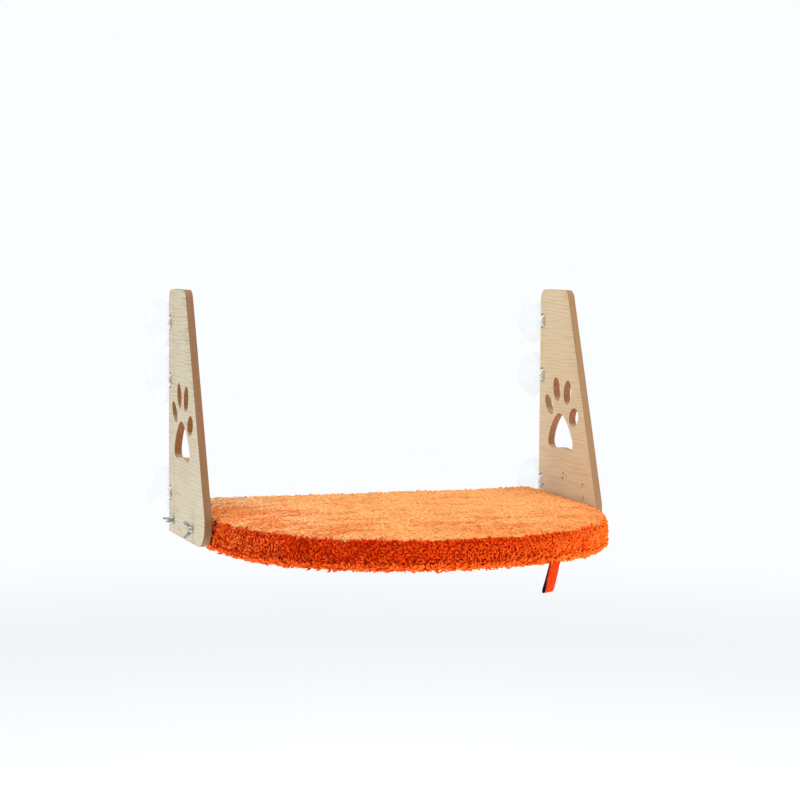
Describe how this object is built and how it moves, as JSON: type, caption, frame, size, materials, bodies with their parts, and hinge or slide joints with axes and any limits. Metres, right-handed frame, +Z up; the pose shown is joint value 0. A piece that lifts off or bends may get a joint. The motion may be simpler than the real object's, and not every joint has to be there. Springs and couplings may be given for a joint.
{
  "type": "window mounted cat perch",
  "caption": "Cat perch for a window: wooden side panels with paw cut-outs, on clear suction cups, hold a padded plush shelf by wing screws.",
  "frame": {"origin": "on the plane of the window pane, midway between the side panels and level with their bottom edges", "axes": "+X along the window to the right as seen from the room, +Y from the room into the window, +Z up"},
  "size_m": [0.559, 0.403, 0.3357],
  "materials": {
    "left_veneer": "satin",
    "right_veneer": "satin",
    "shelf_wood": "matte",
    "foam": "matte",
    "plush": "matte",
    "base_cloth": "matte",
    "ribbon": "satin",
    "clear_vinyl": "gloss",
    "zinc_steel": "satin"
  },
  "bodies": {
    "perch": {"left_side_panel": "left_veneer", "right_side_panel": "right_veneer", "shelf_board": "shelf_wood", "top_foam": "foam", "under_foam": "foam", "plush_cover": "plush", "base_cloth": "base_cloth", "ribbon_tag": "ribbon", "square_nuts": "zinc_steel"},
    "left_upper_cup": {"left_upper_cup": "clear_vinyl"},
    "left_middle_cup": {"left_middle_cup": "clear_vinyl"},
    "left_lower_cup": {"left_lower_cup": "clear_vinyl"},
    "right_upper_cup": {"right_upper_cup": "clear_vinyl"},
    "right_middle_cup": {"right_middle_cup": "clear_vinyl"},
    "right_lower_cup": {"right_lower_cup": "clear_vinyl"},
    "left_rear_washer": {"left_rear_washer": "zinc_steel"},
    "left_rear_wing_screw": {"left_rear_wing_screw": "zinc_steel"},
    "left_front_washer": {"left_front_washer": "zinc_steel"},
    "left_front_wing_screw": {"left_front_wing_screw": "zinc_steel"},
    "right_rear_washer": {"right_rear_washer": "zinc_steel"},
    "right_rear_wing_screw": {"right_rear_wing_screw": "zinc_steel"},
    "right_front_washer": {"right_front_washer": "zinc_steel"},
    "right_front_wing_screw": {"right_front_wing_screw": "zinc_steel"}
  },
  "joints": [
    {"name": "left_upper_cup_spin", "type": "hinge", "parent": "perch", "child": "left_upper_cup", "pos_m": [-0.2495, -0.0205, 0.2585], "axis": [0, 1, 0], "continuous": true},
    {"name": "left_middle_cup_spin", "type": "hinge", "parent": "perch", "child": "left_middle_cup", "pos_m": [-0.2495, -0.0205, 0.188], "axis": [0, 1, 0], "continuous": true},
    {"name": "left_lower_cup_spin", "type": "hinge", "parent": "perch", "child": "left_lower_cup", "pos_m": [-0.2495, -0.0205, 0.0485], "axis": [0, 1, 0], "continuous": true},
    {"name": "right_upper_cup_spin", "type": "hinge", "parent": "perch", "child": "right_upper_cup", "pos_m": [0.2495, -0.0205, 0.2585], "axis": [0, 1, 0], "continuous": true},
    {"name": "right_middle_cup_spin", "type": "hinge", "parent": "perch", "child": "right_middle_cup", "pos_m": [0.2495, -0.0205, 0.188], "axis": [0, 1, 0], "continuous": true},
    {"name": "right_lower_cup_spin", "type": "hinge", "parent": "perch", "child": "right_lower_cup", "pos_m": [0.2495, -0.0205, 0.0485], "axis": [0, 1, 0], "continuous": true},
    {"name": "left_rear_screw_travel", "type": "slide", "parent": "perch", "child": "left_rear_washer", "axis": [-1, 0, 0], "range_m": [0, 0.0042]},
    {"name": "left_rear_screw_turn", "type": "hinge", "parent": "left_rear_washer", "child": "left_rear_wing_screw", "pos_m": [-0.2549, -0.037, 0.017], "axis": [-1, 0, 0], "range_deg": [0, 2161]},
    {"name": "left_front_screw_travel", "type": "slide", "parent": "perch", "child": "left_front_washer", "axis": [-1, 0, 0], "range_m": [0, 0.0042]},
    {"name": "left_front_screw_turn", "type": "hinge", "parent": "left_front_washer", "child": "left_front_wing_screw", "pos_m": [-0.2549, -0.133, 0.017], "axis": [-1, 0, 0], "range_deg": [0, 2161]},
    {"name": "right_rear_screw_travel", "type": "slide", "parent": "perch", "child": "right_rear_washer", "axis": [1, 0, 0], "range_m": [0, 0.0042]},
    {"name": "right_rear_screw_turn", "type": "hinge", "parent": "right_rear_washer", "child": "right_rear_wing_screw", "pos_m": [0.2549, -0.037, 0.017], "axis": [1, 0, 0], "range_deg": [0, 2161]},
    {"name": "right_front_screw_travel", "type": "slide", "parent": "perch", "child": "right_front_washer", "axis": [1, 0, 0], "range_m": [0, 0.0042]},
    {"name": "right_front_screw_turn", "type": "hinge", "parent": "right_front_washer", "child": "right_front_wing_screw", "pos_m": [0.2549, -0.133, 0.017], "axis": [1, 0, 0], "range_deg": [0, 2161]}
  ],
  "couplings": [
    {"joint": "left_rear_screw_turn", "follows": "left_rear_screw_travel", "rad_per_m": 8976},
    {"joint": "left_front_screw_turn", "follows": "left_front_screw_travel", "rad_per_m": 8976},
    {"joint": "right_rear_screw_turn", "follows": "right_rear_screw_travel", "rad_per_m": 8976},
    {"joint": "right_front_screw_turn", "follows": "right_front_screw_travel", "rad_per_m": 8976}
  ]
}
